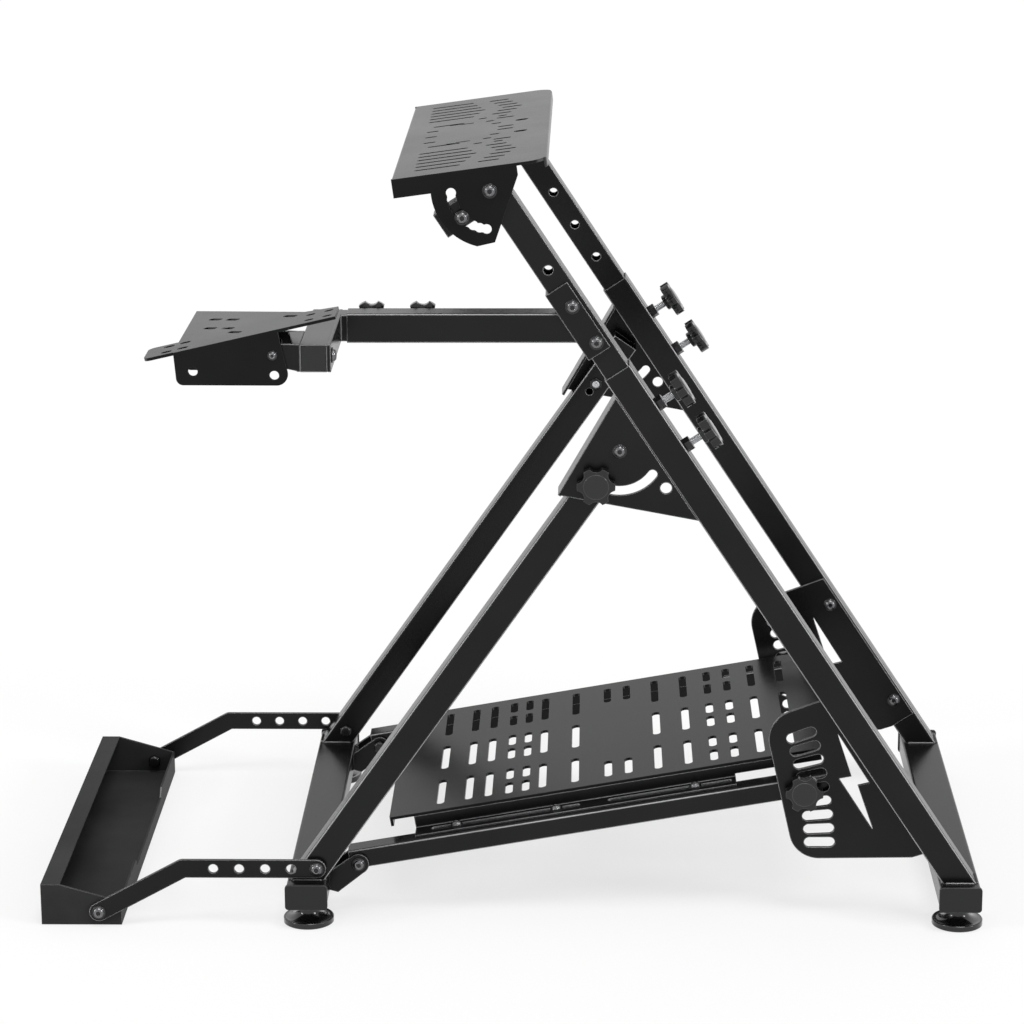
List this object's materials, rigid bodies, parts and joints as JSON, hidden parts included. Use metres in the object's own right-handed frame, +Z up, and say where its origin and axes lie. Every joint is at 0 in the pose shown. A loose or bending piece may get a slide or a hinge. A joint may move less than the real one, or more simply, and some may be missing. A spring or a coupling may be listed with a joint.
{
  "type": "racing wheel stand",
  "caption": "Folding open-frame stand of square tubes with a tilting wheel plate, slotted pedal plate, side shifter plate and a caster tray for the driver's chair.",
  "frame": {"origin": "on the floor, below the middle of the stand's outline", "axes": "+Z up; +X to the front, where the pedals rise, away from the driver; -Y the driver's right, where the shifter plate is"},
  "size_m": [0.9878, 0.6275, 0.8122],
  "materials": {
    "powder_coat": "black satin powder coat with a fine texture",
    "black_plastic": "satin black moulded plastic",
    "foot_plastic": "glossy black moulded plastic",
    "black_bolts": "black oxide steel"
  },
  "bodies": {
    "main_frame": {"right_main_tube": "powder_coat", "left_main_tube": "powder_coat", "front_foot_beam": "powder_coat", "front_beam_caps": "black_plastic", "front_levelling_feet": "foot_plastic", "right_gusset": "powder_coat", "left_gusset": "powder_coat", "right_side_plate": "powder_coat", "left_side_plate": "powder_coat", "height_nuts": "black_bolts", "height_knobs": "black_plastic", "pedal_clamp_knobs": "black_plastic", "fold_pivot_bolts": "black_bolts"},
    "support_frame": {"right_support_tube": "powder_coat", "left_support_tube": "powder_coat", "rear_foot_beam": "powder_coat", "rear_beam_caps": "black_plastic", "rear_levelling_feet": "foot_plastic", "pedal_hinge_clevises": "powder_coat", "pedal_hinge_bolts": "black_bolts", "fold_clamp_knobs": "black_plastic", "stop_bar_bolts": "black_bolts"},
    "pedal_frame": {"right_pedal_tube": "powder_coat", "left_pedal_tube": "powder_coat", "pedal_rails": "powder_coat", "pedal_plate": "powder_coat", "clamp_spacers": "black_bolts"},
    "chair_stop": {"right_stop_bar": "powder_coat", "left_stop_bar": "powder_coat", "caster_tray": "powder_coat", "tray_bolts": "black_bolts"},
    "upper_mast": {"right_mast_tube": "powder_coat", "left_mast_tube": "powder_coat", "tilt_stubs": "powder_coat", "shifter_bracket": "powder_coat", "bracket_bolts": "black_bolts", "shifter_arm": "powder_coat", "shifter_arm_knobs": "black_plastic", "wheel_pivot_bolts": "black_bolts", "wheel_clamp_bolts": "black_bolts"},
    "wheel_deck": {"wheel_plate": "powder_coat"},
    "shifter_carrier": {"shifter_slide": "powder_coat", "shifter_ears": "powder_coat", "stub_bolt": "black_bolts"},
    "shifter_head": {"shifter_plate": "powder_coat", "shifter_pivot_bolt": "black_bolts"}
  },
  "joints": [
    {"name": "support_fold", "type": "hinge", "parent": "main_frame", "child": "support_frame", "pos_m": [0.11184, 0.0621, 0.5148], "axis": [0, -1, 0], "range_deg": [0, 54]},
    {"name": "pedal_tilt", "type": "hinge", "parent": "support_frame", "child": "pedal_frame", "pos_m": [-0.16159, 0.0621, 0.0565], "axis": [0, -1, 0], "range_deg": [-7, 45]},
    {"name": "chair_stop_swing", "type": "hinge", "parent": "support_frame", "child": "chair_stop", "pos_m": [-0.20309, 0.0621, 0.065], "axis": [0, 1, 0], "range_deg": [0, 125]},
    {"name": "height_slide", "type": "slide", "parent": "main_frame", "child": "upper_mast", "axis": [-0.549, 0, 0.8358], "range_m": [-0.02, 0.12]},
    {"name": "wheel_tilt", "type": "hinge", "parent": "upper_mast", "child": "wheel_deck", "pos_m": [-0.01715, 0.0621, 0.78039], "axis": [0, -1, 0], "range_deg": [-40, 32]},
    {"name": "shifter_slide", "type": "slide", "parent": "upper_mast", "child": "shifter_carrier", "axis": [-1, 0, 0], "range_m": [0, 0.08]},
    {"name": "shifter_tilt", "type": "hinge", "parent": "shifter_carrier", "child": "shifter_head", "pos_m": [-0.22312, -0.2789, 0.64443], "axis": [0, -1, 0], "range_deg": [-18, 22]}
  ]
}
